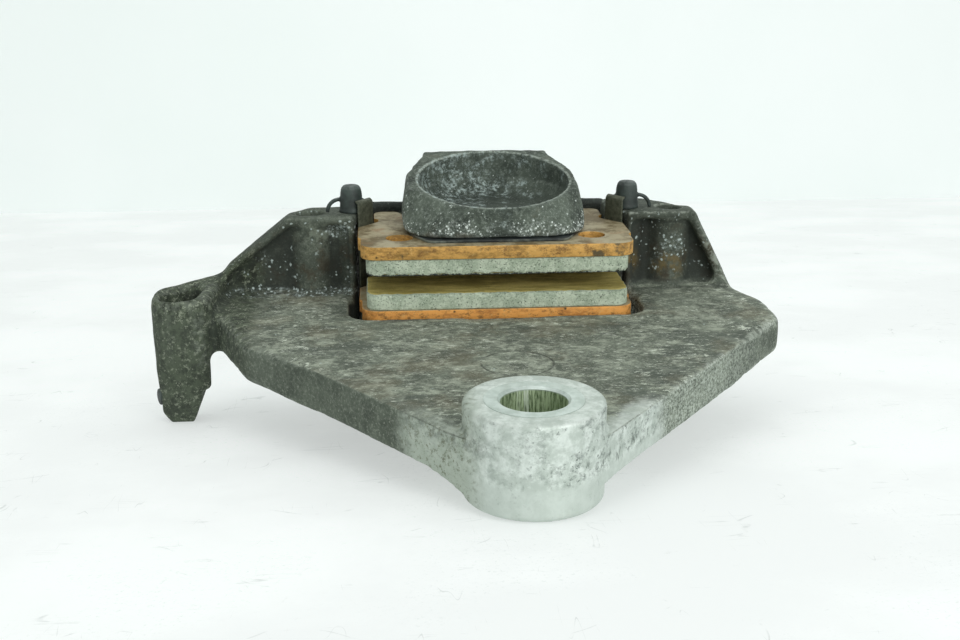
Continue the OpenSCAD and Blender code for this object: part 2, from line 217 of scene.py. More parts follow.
def crafted(node, name, bevel, segments=2):
    """A copy of a CAD node with its sharp edges broken."""
    sharp_angle = math.radians(28)
    mesh = NODES[node].data.copy()
    mesh.materials.clear()
    work = bmesh.new()
    work.from_mesh(mesh)
    bmesh.ops.remove_doubles(work, verts=work.verts, dist=0.002 * MM)
    bmesh.ops.dissolve_limit(work, angle_limit=math.radians(1), verts=work.verts,
        edges=work.edges)
    sharp = [e for e in work.edges
        if e.is_manifold and e.calc_face_angle(0) > sharp_angle]
    bmesh.ops.bevel(work, geom=sharp, offset=bevel * MM, offset_type="OFFSET",
        segments=segments, profile=0.5, affect="EDGES", clamp_overlap=True)
    work.to_mesh(mesh)
    work.free()
    smooth_shading(mesh, 35)
    return show(name, mesh)


def turned(name, profile, centre, steps):
    """A closed outline of (radius, height) in millimetres, turned about an upright axis."""
    work = bmesh.new()
    rings = []
    for step in range(steps):
        turn = 2 * math.pi * step / steps
        ring = []
        for radius, height in profile:
            point = Vector((radius * math.cos(turn), radius * math.sin(turn), height))
            ring.append(work.verts.new((point + Vector(centre)) * MM))
        rings.append(ring)
    for ring, following in zip(rings, rings[1:] + rings[:1]):
        for i, j in zip(range(len(profile)), [*range(1, len(profile)), 0]):
            work.faces.new((ring[i], following[i], following[j], ring[j]))
    bmesh.ops.remove_doubles(work, verts=work.verts, dist=0.0005 * MM)
    bmesh.ops.recalc_face_normals(work, faces=work.faces)
    mesh = bpy.data.meshes.new(name)
    work.to_mesh(mesh)
    work.free()
    smooth_shading(mesh, 30)
    return show(name, mesh)


# ---- materials ----------------------------------------------------------------------

def srgb(red, green, blue):
    """A colour given as 0 to 255 a channel."""
    def linear(c):
        c /= 255
        return c / 12.92 if c <= 0.04045 else ((c + 0.055) / 1.055) ** 2.4
    return (linear(red), linear(green), linear(blue), 1.0)


class Paint:
    """A material, with short calls for the nodes that its pattern needs. Places and sizes
    are in millimetres in the piece's own frame."""

    def __init__(self, name, metallic):
        self.material = bpy.data.materials.new(name)
        self.material.use_nodes = True
        self.tree = self.material.node_tree
        self.tree.nodes.clear()
        self.shader = self.node("ShaderNodeBsdfPrincipled")
        self.shader.inputs["Metallic"].default_value = metallic
        self.shader.inputs["IOR"].default_value = 1.45
        output = self.node("ShaderNodeOutputMaterial")
        self.tree.links.new(self.shader.outputs[0], output.inputs["Surface"])
        coords = self.node("ShaderNodeTexCoord")
        self.point = self.node("ShaderNodeVectorMath", {"Vector": coords.outputs["Object"],
            "Scale": 1 / MM}, operation="SCALE").outputs[0]
        split = self.node("ShaderNodeSeparateXYZ", {"Vector": self.point})
        self.x, self.y, self.z = split.outputs
        facing = self.node("ShaderNodeSeparateXYZ", {"Vector": coords.outputs["Normal"]})
        self.nz = facing.outputs["Z"]

    def node(self, kind, inputs={}, **settings):
        """A node with its settings, and with a value or a link at each input."""
        made = self.tree.nodes.new(kind)
        for key, value in settings.items():
            setattr(made, key, value)
        for key, value in inputs.items():
            self.feed(made.inputs[key], value)
        return made

    def feed(self, socket, value):
        """Links a pattern to a socket, or sets the socket to a constant."""
        if isinstance(value, bpy.types.NodeSocket):
            self.tree.links.new(value, socket)
        else:
            socket.default_value = value

    def math(self, operation, first, second=0.0):
        return self.node("ShaderNodeMath", {0: first, 1: second},
            operation=operation).outputs[0]

    def times(self, *values):
        total = values[0]
        for value in values[1:]:
            total = self.math("MULTIPLY", total, value)
        return total

    def plus(self, *values):
        total = values[0]
        for value in values[1:]:
            total = self.math("ADD", total, value)
        return total

    def inverse(self, value):
        return self.math("SUBTRACT", 1.0, value)

    def absolute(self, value):
        return self.math("ABSOLUTE", value)

    def gap(self, value, middle):
        """How far a value is from the middle one."""
        return self.absolute(self.math("SUBTRACT", value, middle))

    def length(self, across, along):
        """Length of a step across and a step along."""
        return self.math("SQRT", self.plus(self.times(across, across),
            self.times(along, along)))

    def step(self, value, start, end, top=1.0):
        """0 at start and `top` at end, smooth between them."""
        return self.node("ShaderNodeMapRange", {"Value": value, "From Min": start,
            "From Max": end, "To Max": top}, interpolation_type="SMOOTHSTEP").outputs[0]

    def place(self, stretch=None):
        """The point being painted, with lengths divided by `stretch` along each axis."""
        if not stretch:
            return self.point
        return self.node("ShaderNodeVectorMath", {0: self.point,
            1: [1 / s for s in stretch]}, operation="MULTIPLY").outputs[0]

    def noise(self, size, seed, detail=4.0, rough=0.6, stretch=None):
        """Clouds of about this size, from 0 to 1 and mostly near 0.5."""
        return self.node("ShaderNodeTexNoise", {"Vector": self.place(stretch), "W": seed,
            "Scale": 1 / size, "Detail": detail, "Roughness": rough},
            noise_dimensions="4D").outputs[0]

    def cells(self, size):
        """Distance from the nearest of many scattered points, about `size` apart."""
        return self.node("ShaderNodeTexVoronoi", {"Vector": self.point,
            "Scale": 1 / size}).outputs["Distance"]

    def attribute(self, name):
        return self.node("ShaderNodeAttribute", attribute_name=name).outputs["Fac"]

    def mix(self, share, first, second):
        """The first colour at share 0 and the second at 1."""
        made = self.node("ShaderNodeMix", data_type="RGBA")
        for index, value in ((0, share), (6, first), (7, second)):
            self.feed(made.inputs[index], value)
        return made.outputs[2]

    def distance(self, centre_x, centre_y):
        """Distance from an upright axis."""
        return self.length(self.math("SUBTRACT", self.x, centre_x),
            self.math("SUBTRACT", self.y, centre_y))

    def inset(self, side):
        """How far inside one of the web's straight sides a place lies."""
        (start_x, start_y), (along_x, along_y) = side
        reach = start_x * along_y - start_y * along_x
        return self.math("SUBTRACT", reach,
            self.plus(self.times(self.x, along_y), self.times(self.y, -along_x)))

    def spot(self, x, z, radius):
        """1 at a place on a wall that faces the front, fading to 0 at the radius."""
        away = self.length(self.math("SUBTRACT", self.x, x),
            self.math("SUBTRACT", self.z, z))
        return self.step(away, radius, 0.0)

    def glow(self, colour, strength):
        """Makes the surface give off light of its own."""
        self.feed(self.shader.inputs["Emission Color"], colour)
        self.feed(self.shader.inputs["Emission Strength"], strength)

    def finish(self, colour, rough, height=None, depth=0.1, metallic=None):
        """Links the pattern to the shader. depth is the bumps' height in millimetres."""
        self.feed(self.shader.inputs["Base Color"], colour)
        self.feed(self.shader.inputs["Roughness"], rough)
        if metallic is not None:
            self.feed(self.shader.inputs["Metallic"], metallic)
        if height is not None:
            bump = self.node("ShaderNodeBump", {"Height": height, "Distance": depth * MM,
                "Strength": 1.0})
            self.tree.links.new(bump.outputs[0], self.shader.inputs["Normal"])
        return self.material


def cast_tone(p, dark, middle, pale):
    """Cloudy skin of old cast aluminium: patches, mottling and fine grain."""
    colour = p.mix(p.step(p.noise(17, 1.0, 10, 0.72), 0.4, 0.6), dark, middle)
    mottle = p.noise(1.6, 2.0, 7, 0.8)
    colour = p.mix(p.step(mottle, 0.5, 0.66, 0.55), colour, pale)
    colour = p.mix(p.step(mottle, 0.47, 0.35, 0.55), colour, dark)
    grain = p.noise(0.7, 3.0, 4, 0.75)
    colour = p.mix(p.step(grain, 0.53, 0.68, 0.7), colour, pale)
    return p.mix(p.step(grain, 0.45, 0.3, 0.8), colour, dark)


def salt(p, size, clusters, amount):
    """White corrosion: small round specks where `clusters` is high."""
    uneven = p.times(p.noise(size * 0.45, 8.0, 3, 0.7), 0.5)
    specks = p.step(p.plus(p.cells(size), uneven), 0.62, 0.44)
    keep = p.step(p.plus(p.noise(size * 1.3, 7.0, 1), clusters), 1.08, 1.2)
    bloom = p.times(p.step(p.noise(size * 0.8, 9.0, 6, 0.8), 0.48, 0.64),
        p.step(clusters, 0.6, 0.82))
    return p.math("MINIMUM", p.times(p.math("MAXIMUM", p.times(specks, keep), bloom),
        amount), 1.0)


def web_tone(p, colour, flat_top):
    """Pale streaks, darker shades, scuffs and a brown cast on the web's flat top."""
    colour = p.mix(p.times(flat_top, 0.15), colour, srgb(140, 147, 130))
    streaks = p.step(p.noise(4.5, 11.0, 10, 0.8, (1.5, 1, 1)), 0.48, 0.6)
    colour = p.mix(p.times(streaks, flat_top, 0.62), colour, srgb(176, 184, 166))
    shade = p.step(p.noise(18, 12.0, 10, 0.7, (1.6, 0.8, 1)), 0.5, 0.41)
    colour = p.mix(p.times(shade, flat_top, 0.55), colour, srgb(66, 74, 67))
    scuffs = p.step(p.noise(1.1, 13.0, 5, 0.8, (2.2, 0.9, 1)), 0.57, 0.66)
    colour = p.mix(p.times(scuffs, flat_top, 0.85), colour, srgb(222, 228, 214))
    specks = p.step(p.noise(0.9, 23.0, 4, 0.8), 0.42, 0.32)
    colour = p.mix(p.times(specks, flat_top, 0.7), colour, srgb(48, 54, 48))
    threads = p.step(p.noise(2.2, 25.0, 8, 0.85, (1.8, 1, 1)), 0.54, 0.61)
    lit = p.times(p.step(p.noise(14, 26.0, 3), 0.42, 0.56), flat_top)
    colour = p.mix(p.times(threads, lit, 0.9), colour, srgb(214, 222, 206))
    brown = p.step(p.noise(24, 14.0, 8, 0.66), 0.48, 0.62)
    return p.mix(p.times(brown, flat_top, 0.28), colour, srgb(118, 108, 82))


def tower_tone(p, colour, top):
    """Darker towers, with brown stains and some ochre in their recesses, painted shade deep in
    the recesses and on a column of the right tower, and the window's ends in painted black
    shadow."""
    upright = p.inverse(top)
    tall = p.step(p.z, WEB_TOP + 1.0, WEB_TOP + 4.0)
    colour = p.mix(p.times(tall, 0.5), colour, srgb(62, 68, 60))
    stain = p.times(p.step(p.noise(10, 15.0, 8, 0.66), 0.49, 0.6), upright,
        p.step(p.y, 116, 122), p.step(p.z, WEB_TOP, WEB_TOP + 3), p.step(p.z, 42, 36))
    colour = p.mix(p.times(stain, 0.6), colour, srgb(66, 54, 36))
    walls = p.times(upright, p.step(p.z, WEB_TOP, WEB_TOP + 2), p.step(p.y, 132, 131))
    # Painted shade: near black deep in the towers' recesses
    recess_shade = p.times(walls, p.step(p.y, 123.6, 126.5), p.step(p.z, 42.5, 40.5))
    colour = p.mix(p.times(recess_shade, 0.55), colour, srgb(32, 36, 32))
    # Painted shade on a column of the right tower, beside its recess
    post_shade = p.times(walls, p.step(p.x, 44, 45), p.step(p.x, 58, 50), p.step(p.z, 45, 38))
    colour = p.mix(p.times(post_shade, 0.6), colour, srgb(38, 40, 34))
    ochre = p.times(p.step(p.noise(5, 22.0, 8, 0.7), 0.46, 0.6), upright,
        p.math("MAXIMUM", p.spot(61, 26, 9), p.spot(47, 27, 6)))
    colour = p.mix(p.times(ochre, 0.7), colour, srgb(118, 98, 50))
    aside = p.absolute(p.x)
    shadow = p.times(p.step(p.absolute(p.nz), 0.6, 0.3), p.step(aside, 40, 43),
        p.step(aside, 53, 51), p.step(p.y, 84, 89), p.step(p.z, 18.5, 16.5))
    return p.mix(p.times(shadow, 0.85), colour, srgb(14, 16, 14))


def left_tone(p, colour, top):
    """An olive torque leg, a pale bulge on the left tower, and painted shade on the left side.
    """
    olive = p.mix(p.step(p.noise(3.0, 24.0, 8, 0.75), 0.42, 0.58), srgb(42, 49, 38),
        srgb(78, 88, 70))
    olive = p.mix(p.step(p.noise(1.3, 49.0, 4, 0.8), 0.54, 0.6, 0.8), olive,
        srgb(146, 154, 134))
    leg = p.times(p.step(p.x, -74, -81), p.step(p.z, 36, 30))
    colour = p.mix(p.times(leg, 0.88), colour, olive)
    bulge = p.times(p.inverse(top), p.spot(-58, 38, 12), p.step(p.y, 118, 121),
        p.step(p.noise(2.6, 59.0, 8, 0.78), 0.42, 0.6))
    colour = p.mix(p.times(bulge, 0.7), colour, srgb(134, 144, 128))
    # Painted shade: the left side darkened
    left_side_shade = p.times(p.step(p.x, -30, -50), p.step(p.nz, 0.8, 0.4), p.step(p.z, 20, 17))
    return p.mix(p.times(left_side_shade, 0.3), colour, srgb(58, 66, 56))


def bracket_wear_and_shade(p, colour, edge):
    """Painted shade in filled corners, and pale worn edges, less worn in the recesses and on
    the left.
    """
    # Painted shade: darkens the corners that the rounding filled
    colour = p.mix(p.step(edge, -0.2, -0.9, 0.5), colour, srgb(44, 50, 45))
    recess = p.times(p.step(p.y, 118, 121), p.step(p.z, 17, 20), p.step(p.z, 44, 42.5),
        p.step(p.x, 76, 66))
    worn = p.times(p.step(edge, 0.3, 1.1), p.step(p.noise(2.0, 16.0, 6, 0.7), 0.42, 0.58),
        p.inverse(p.times(recess, 0.85)), p.inverse(p.times(p.step(p.x, -15, -30), 0.7)))
    return p.mix(p.times(worn, 0.6), colour, srgb(164, 172, 160))


def right_tone(p, colour):
    """The web's right side, rubbed pale and pitted, under a frayed bright arris."""
    side = p.times(p.step(p.x, 16, 24), p.step(p.x, 92, 50), p.step(p.nz, 0.85, 0.5),
        p.step(p.z, 20, 17.6))
    rubbed = p.times(side, p.step(p.noise(0.8, 21.0, 4, 0.85), 0.42, 0.6))
    colour = p.mix(p.times(rubbed, 0.7), colour, srgb(190, 200, 188))
    pitted = p.times(side, p.step(p.noise(0.9, 27.0, 4, 0.8), 0.44, 0.36))
    colour = p.mix(p.times(pitted, 0.6), colour, srgb(66, 74, 66))
    arris = p.times(p.step(p.absolute(p.inset(RIGHT_SIDE)), 2.2, 0.4),
        p.step(p.nz, 0.3, 0.6), p.step(p.z, 15, 16))
    frayed = p.times(p.step(p.noise(1.0, 28.0, 6, 0.85), 0.46, 0.56),
        p.step(p.noise(12, 29.0, 3), 0.38, 0.56))
    return p.mix(p.times(arris, frayed, 0.8), colour, srgb(206, 214, 204))


def bracket_salt(p, colour, top):
    """White corrosion on the towers' faces and along their feet."""
    crease = p.step(p.gap(p.z, WEB_TOP + 1.0), 2.2, 0.4)
    junction = p.times(p.step(p.y, 117, 121), crease, p.step(p.x, 30, -30))
    face = p.times(p.step(p.y, 112, 122), p.step(p.z, 18, 24), p.inverse(top))
    clusters = p.plus(p.times(p.noise(8, 17.0, 3), 0.72), p.times(junction, 0.34),
        p.times(face, 0.18), p.times(face, p.spot(62, 33, 9), 0.18),
        p.times(face, p.spot(-50, 39, 6), 0.2), p.times(face, p.spot(51, 36, 5), 0.12))
    return p.mix(salt(p, 1.5, clusters, 0.9), colour, srgb(186, 200, 196))


def bare_area(p):
    """Where metal is bare: the boss, and the web's sides and rims next to it."""
    away = p.distance(0.0, 0.0)
    boss = p.step(away, BOSS_R + 0.9, BOSS_R + 0.2)
    ragged = p.plus(p.times(p.noise(7, 30.0, 8, 0.72), 18), p.times(p.x, -0.08), -9.0)
    reach = p.plus(away, ragged)
    side = p.times(p.step(reach, 42, 33), p.step(p.nz, 0.75, 0.35), p.step(p.z, 19, 17.2))
    nearest = p.math("MINIMUM", p.inset(RIGHT_SIDE), p.absolute(p.inset(LEFT_SIDE)))
    rim = p.step(p.plus(nearest, p.times(p.noise(2.5, 31.0, 6), 6)), 10, 5)
    patch = p.times(rim, p.step(reach, 40, 28), p.step(p.nz, 0.6, 0.9))
    return p.math("MINIMUM", p.plus(boss, side, p.times(patch, 0.75)), 1.0)


def boss_smears(p, metal):
    """Grey smears, pits and a band of dashes on the boss's wall."""
    upright = p.inverse(p.step(p.nz, 0.5, 0.8))
    wall = p.times(upright, p.step(p.z, 8.0, 10.5),
        p.plus(0.35, p.times(p.step(p.x, -6, 6), 0.65)))
    smears = p.step(p.noise(1.9, 34.0, 8, 0.74, (1.3, 1.3, 1)), 0.48, 0.62)
    patches = p.step(p.noise(6, 37.0, 3), 0.42, 0.54)
    metal = p.mix(p.times(smears, patches, wall, 0.62), metal, srgb(108, 118, 112))
    pits = p.times(p.step(p.noise(1.0, 38.0, 4, 0.75), 0.55, 0.64), p.plus(wall, 0.25),
        patches)
    metal = p.mix(p.times(pits, 0.65), metal, srgb(84, 94, 88))
    band = p.times(p.step(p.z, 8, 9.5), p.step(p.z, 15, 12.5), p.step(p.x, -10, -4), upright)
    dashes = p.step(p.noise(2.0, 55.0, 7, 0.72, (1, 1, 2.2)), 0.54, 0.63)
    return p.mix(p.times(band, dashes, 0.75), metal, srgb(92, 102, 94))


def boss_metal(p):
    """Bright cloudy metal with chips and scratches, dull and stained on the left."""
    low_down = p.step(p.z, 9.5, 7.5)
    cloud = p.step(p.noise(4, 32.0, 8, 0.7), 0.4, 0.62)
    cloud = p.plus(p.times(cloud, p.inverse(p.times(low_down, 0.7))), p.times(low_down, 0.2))
    metal = p.mix(cloud, srgb(184, 194, 186), srgb(214, 222, 216))
    dull = p.step(p.x, -12, -19)
    metal = p.mix(p.times(dull, 0.55), metal, srgb(146, 157, 138))
    metal = boss_smears(p, metal)
    chips = p.step(p.noise(1.1, 35.0, 5, 0.7), 0.64, 0.74)
    metal = p.mix(p.times(chips, 0.5), metal, srgb(118, 126, 118))
    grime = p.times(p.step(p.z, 12, 16), p.step(p.z, 22, 18), p.step(p.x, -8, -17),
        p.step(p.noise(2.4, 39.0, 7, 0.75), 0.44, 0.58))
    metal = p.mix(p.times(grime, 0.5), metal, srgb(84, 92, 84))
    stained = p.times(dull, p.step(p.noise(1.5, 40.0, 7, 0.8), 0.5, 0.62))
    metal = p.mix(p.times(stained, 0.75), metal, srgb(98, 102, 78))
    scratch = p.step(p.noise(3.0, 36.0, 3, 0.6, (6, 0.35, 1)), 0.64, 0.7)
    return p.mix(p.times(scratch, 0.4), metal, srgb(150, 160, 154))


def bracket_material():
    """Dark weathered casting, streaked on top, bare and bright round the axle boss."""
    p = Paint("cast_bracket", 0.2)
    top = p.step(p.nz, 0.6, 0.9)
    flat_top = p.times(top, p.step(p.z, WEB_TOP + 3.5, WEB_TOP + 1.0))
    colour = cast_tone(p, srgb(64, 72, 62), srgb(98, 107, 94), srgb(160, 168, 153))
    colour = web_tone(p, colour, flat_top)
    colour = tower_tone(p, colour, top)
    colour = left_tone(p, colour, top)
    colour = bracket_wear_and_shade(p, colour, p.attribute("edge"))
    colour = right_tone(p, colour)
    colour = bracket_salt(p, colour, top)
    bare = bare_area(p)
    colour = p.mix(bare, colour, boss_metal(p))
    ring = p.times(p.step(p.gap(p.distance(1.0, 48.6), 10.4), 0.45, 0.15), flat_top,
        p.step(p.noise(6, 18.0, 5, 0.7), 0.4, 0.56))
    colour = p.mix(p.times(ring, 0.75), colour, srgb(48, 52, 46))
    rough = p.plus(0.78, p.times(bare, -0.26), p.times(p.noise(2.0, 19.0), 0.12))
    skin = p.plus(p.times(p.noise(0.9, 20.0, 6, 0.68), p.inverse(p.times(bare, 0.85))),
        p.times(ring, -0.4))
    return p.finish(colour, rough, skin, 0.28, p.plus(0.15, p.times(bare, 0.5)))


def cup_tone(p, colour, arm, hollow):
    """The arm's hollow: painted shade inside, with white flakes and a pale uneven lip that is
    partly wear and partly a painted highlight.
    """
    # Painted shade inside the hollow, darker still low down in it
    colour = p.mix(p.times(hollow, 0.35), colour, srgb(58, 68, 60))
    colour = p.mix(p.times(hollow, p.step(p.z, 50, 45), 0.4), colour, srgb(36, 42, 38))
    # The pale lip: partly a worn edge, partly a painted highlight line along the rim
    from_lip = p.gap(p.distance(CUP_X, CUP_Y), CUP_R + 0.2)
    uneven = p.step(p.noise(1.5, 48.0, 5, 0.75), 0.4, 0.56)
    lip = p.times(p.step(from_lip, 1.1, 0.3), p.step(p.nz, 0.2, 0.6), arm, uneven)
    colour = p.mix(p.times(lip, 0.6), colour, srgb(178, 188, 178))
    leftward = p.times(p.step(p.x, 12, -14), 0.16)
    flakes = p.times(p.step(p.noise(2.0, 46.0, 8, 0.82), 0.47, 0.62), hollow,
        p.step(p.plus(p.noise(8, 47.0, 4), leftward), 0.5, 0.62), p.step(p.z, 43, 47))
    return p.mix(p.times(flakes, 0.9), colour, srgb(178, 194, 190))


def caliper_material():
    """Green-grey weathered casting with white corrosion in its hollow and low on its wall,
    and painted shade in its corners, in its hollow and under the bridge.
    """
    p = Paint("cast_caliper", 0.2)
    edge = p.attribute("edge")
    colour = cast_tone(p, srgb(54, 62, 55), srgb(94, 104, 93), srgb(150, 161, 150))
    # Painted shade: darkens the corners that the rounding filled
    colour = p.mix(p.step(edge, -0.15, -0.8, 0.5), colour, srgb(48, 54, 50))
    worn = p.times(p.step(edge, 0.3, 1.0), p.step(p.noise(2.0, 41.0, 4), 0.4, 0.6))
    colour = p.mix(p.times(worn, 0.5), colour, srgb(150, 157, 150))
    arm = p.step(p.z, 40, 43)
    low_wall = p.times(p.step(p.z, 50, 43), arm, p.step(p.nz, 0.6, 0.2))
    downward = p.times(p.step(p.z, 58, 42), arm)
    clusters = p.plus(p.times(p.noise(5, 42.0, 4), 0.9), p.times(low_wall, 0.25),
        p.times(downward, 0.12), -0.06)
    colour = p.mix(salt(p, 1.05, clusters, 1.0), colour, srgb(216, 226, 220))
    hollow = p.times(p.step(p.distance(CUP_X, CUP_Y), CUP_R + 1.2, CUP_R + 0.5), arm)
    colour = cup_tone(p, colour, arm, hollow)
    brown = p.times(p.step(p.noise(9, 43.0, 3), 0.55, 0.7), p.inverse(hollow))
    colour = p.mix(p.times(brown, 0.35), colour, srgb(92, 84, 66))
    # Painted shade: the lower part of the bridge, near black
    bridge = p.times(p.step(p.y, 146, 149.5), p.step(p.z, 44.2, 43.4))
    colour = p.mix(p.times(bridge, 0.72), colour, srgb(30, 33, 33))
    rough = p.plus(0.76, p.times(p.noise(2.0, 45.0), 0.14))
    return p.finish(colour, rough, p.noise(0.8, 44.0, 6, 0.7), 0.22)


def sleeve_material():
    """Machined steel, with dark green-grey streaks down the bore."""
    p = Paint("bare_sleeve", 0.75)
    face = p.mix(p.step(p.noise(5, 50.0, 6, 0.66), 0.38, 0.62), srgb(184, 197, 189),
        srgb(208, 219, 213))
    away = p.distance(0.0, 0.0)
    turning = p.math("SINE", p.times(away, 2 * math.pi / 0.35))
    face = p.mix(p.times(p.step(turning, 0.2, 1.0), 0.12), face, srgb(150, 155, 150))
    streaks = p.step(p.noise(0.6, 51.0, 5, 0.7, (1, 1, 9)), 0.38, 0.56)
    bore = p.mix(streaks, srgb(84, 104, 70), srgb(190, 206, 172))
    light = p.step(p.noise(1.3, 52.0, 4, 0.65, (1, 1, 14)), 0.56, 0.68)
    bore = p.mix(light, bore, srgb(212, 222, 208))
    inside = p.times(p.step(away, BORE_R + 0.4, BORE_R + 0.1),
        p.step(p.z, BOSS_TOP - 0.6, BOSS_TOP - 1.2))
    colour = p.mix(inside, face, bore)
    rough = p.plus(0.34, p.times(inside, 0.18), p.times(p.noise(1.5, 53.0), 0.1))
    return p.finish(colour, rough, p.plus(p.times(turning, 0.2), p.noise(0.8, 54.0)), 0.02)


def copper_material(name, top, edge_light, edge_dark, stain):
    """Copper-coloured plate: dusty flat faces, brighter orange edges with dark stains."""
    p = Paint(name, 0.3)
    flat = p.step(p.absolute(p.nz), 0.6, 0.9)
    face = p.mix(p.step(p.noise(9, 60.0, 9, 0.72), 0.42, 0.6), top, srgb(168, 158, 128))
    face = p.mix(p.step(p.noise(13, 61.0, 8, 0.66), 0.54, 0.66, 0.5), face, srgb(150, 108, 66))
    face = p.mix(p.step(p.noise(1.2, 62.0, 6, 0.75), 0.56, 0.7, 0.5), face, srgb(86, 78, 56))
    rim = p.mix(p.step(p.noise(3.5, 63.0, 8, 0.76, (2, 2, 1)), 0.36, 0.56), edge_dark,
        edge_light)
    rim = p.mix(p.step(p.noise(1.1, 64.0, 5, 0.75), 0.54, 0.68, 0.5), rim,
        srgb(222, 188, 122))
    rim = p.mix(p.step(p.noise(1.8, 69.0, 8, 0.78, (1.6, 1, 1)), 0.5, 0.38, 0.75), rim,
        srgb(108, 76, 40))
    blotch = p.plus(p.noise(9, 65.0, 7, 0.7), p.times(p.spot(33, 33, 9), 0.12))
    rim = p.mix(p.times(p.step(blotch, 0.56, 0.63), stain), rim, srgb(70, 68, 54))
    rim = p.mix(p.step(p.cells(5.5), 0.09, 0.05, 0.8), rim, srgb(52, 42, 28))
    colour = p.mix(flat, rim, face)
    rough = p.plus(0.5, p.times(p.noise(3, 66.0, 4), 0.22))
    height = p.plus(p.noise(1.5, 67.0, 6, 0.72), p.times(p.noise(0.4, 68.0, 2), 0.3))
    return p.finish(colour, rough, height, 0.06)


def lining_material(name, worn_z, rim_darkness):
    """Pressed friction compound: pale grey-green with dark and light specks, an olive
    rubbed face, and a dark ragged band along that face's rim."""
    p = Paint(name, 0.0)
    colour = p.mix(p.step(p.noise(4, 70.0, 8, 0.7), 0.4, 0.6), srgb(156, 170, 148),
        srgb(188, 200, 178))
    colour = p.mix(p.step(p.noise(0.5, 71.0, 4, 0.75), 0.53, 0.66, 0.75), colour,
        srgb(212, 221, 204))
    specks = p.step(p.noise(0.5, 72.0, 3, 0.7), 0.56, 0.66)
    colour = p.mix(p.times(specks, 0.8), colour, srgb(88, 98, 88))
    flecks = p.times(p.step(p.cells(1.5), 0.2, 0.1), p.step(p.noise(3, 73.0), 0.46, 0.58))
    colour = p.mix(p.times(flecks, 0.85), colour, srgb(50, 56, 52))
    soot = p.step(p.noise(6, 74.0, 8, 0.7, (2.5, 1, 1)), 0.57, 0.68, 0.55)
    colour = p.mix(soot, colour, srgb(100, 110, 102))
    # A dark ragged band along the rubbed face's rim
    from_rim = p.plus(p.gap(p.z, worn_z), p.times(p.noise(1.1, 78.0, 4, 0.7), 2.6))
    dark_rim_band = p.step(from_rim, 2.1, 1.5)
    colour = p.mix(p.times(dark_rim_band, rim_darkness), colour, srgb(44, 50, 46))
    rubbed = p.step(p.absolute(p.nz), 0.7, 0.92)
    olive = p.mix(p.step(p.noise(5, 75.0, 8, 0.7, (4, 1, 1)), 0.4, 0.62),
        srgb(150, 138, 72), srgb(200, 186, 112))
    olive = p.mix(p.step(p.noise(0.6, 76.0, 3, 0.7), 0.58, 0.7, 0.5), olive, srgb(80, 74, 42))
    colour = p.mix(rubbed, colour, olive)
    height = p.plus(p.noise(0.5, 77.0, 4, 0.75), p.times(specks, -0.8))
    return p.finish(colour, 0.86, height, 0.2)


def rubber_material():
    """Blue-grey rubber, dusty where it faces up."""
    p = Paint("black_rubber", 0.0)
    colour = p.mix(p.step(p.noise(5, 80.0, 4), 0.35, 0.7), srgb(38, 46, 43),
        srgb(60, 72, 67))
    dust = p.times(p.step(p.nz, 0.2, 0.95), p.step(p.noise(1.6, 81.0, 4, 0.7), 0.36, 0.62))
    colour = p.mix(p.times(dust, 0.5), colour, srgb(118, 126, 123))
    return p.finish(colour, 0.58, p.noise(0.5, 82.0, 4), 0.04)


def steel_material(name, dark, light, rough, metallic, rust, grain=(1, 1, 1)):
    """Plain steel with a fine grain, some grime and a little rust."""
    p = Paint(name, metallic)
    brushed = p.noise(1.2, 90.0, 6, 0.7, grain)
    colour = p.mix(p.step(brushed, 0.32, 0.68), dark, light)
    colour = p.mix(p.step(p.noise(4, 91.0, 4, 0.6), 0.58, 0.75, rust), colour,
        srgb(96, 74, 50))
    grime = p.step(p.noise(2.2, 92.0, 5, 0.7), 0.56, 0.74, 0.5)
    colour = p.mix(grime, colour, srgb(58, 60, 54))
    gloss = p.plus(rough, p.times(p.noise(2.5, 93.0), 0.18))
    return p.finish(colour, gloss, p.plus(brushed, p.noise(0.6, 94.0)), 0.02)


def shim_material():
    """Black insulating sheet, scuffed along its rim."""
    p = Paint("shim_black", 0.0)
    colour = p.mix(p.step(p.noise(5, 100.0, 6, 0.7), 0.45, 0.65), srgb(24, 29, 29),
        srgb(50, 58, 56))
    rim = p.times(p.inverse(p.step(p.absolute(p.nz), 0.6, 0.9)),
        p.step(p.noise(14, 101.0, 5), 0.44, 0.56))
    colour = p.mix(p.times(rim, 0.6), colour, srgb(128, 134, 122))
    return p.finish(colour, 0.5, p.noise(0.8, 102.0, 4), 0.05)


def floor_material():
    """White studio floor with faint scratches and specks, lit from below as well."""
    p = Paint("floor_white", 0.0)
    colour = p.mix(p.step(p.noise(90, 110.0, 5), 0.4, 0.65), srgb(174, 177, 176),
        srgb(180, 183, 182))
    grain = p.step(p.noise(1.0, 111.0, 4, 0.8), 0.54, 0.7, 0.6)
    patch = p.step(p.noise(45, 112.0, 4), 0.44, 0.62)
    colour = p.mix(p.times(grain, patch, 0.6), colour, srgb(128, 138, 134))
    for seed, stretch in ((113.0, (22, 1, 1)), (114.0, (1, 16, 1)), (115.0, (9, 5, 1))):
        line = p.gap(p.noise(5, seed, 1, 0.4, stretch), 0.5)
        faint = p.times(p.step(line, 0.005, 0.0), p.step(p.noise(12, seed + 10), 0.54, 0.64))
        colour = p.mix(p.times(faint, 0.3), colour, srgb(100, 108, 104))
    p.glow(colour, 1.1)
    return p.finish(colour, 0.7, p.noise(1.2, 116.0, 4), 0.02)


def wall_material():
    """White paper backdrop with a slight glow, as if lit from behind."""
    p = Paint("wall_white", 0.0)
    colour = p.mix(p.step(p.noise(400, 117.0, 3), 0.3, 0.7), srgb(243, 249, 247),
        srgb(248, 252, 251))
    p.glow((0.97, 1.0, 0.99, 1.0), 0.04)
    return p.finish(colour, 1.0)


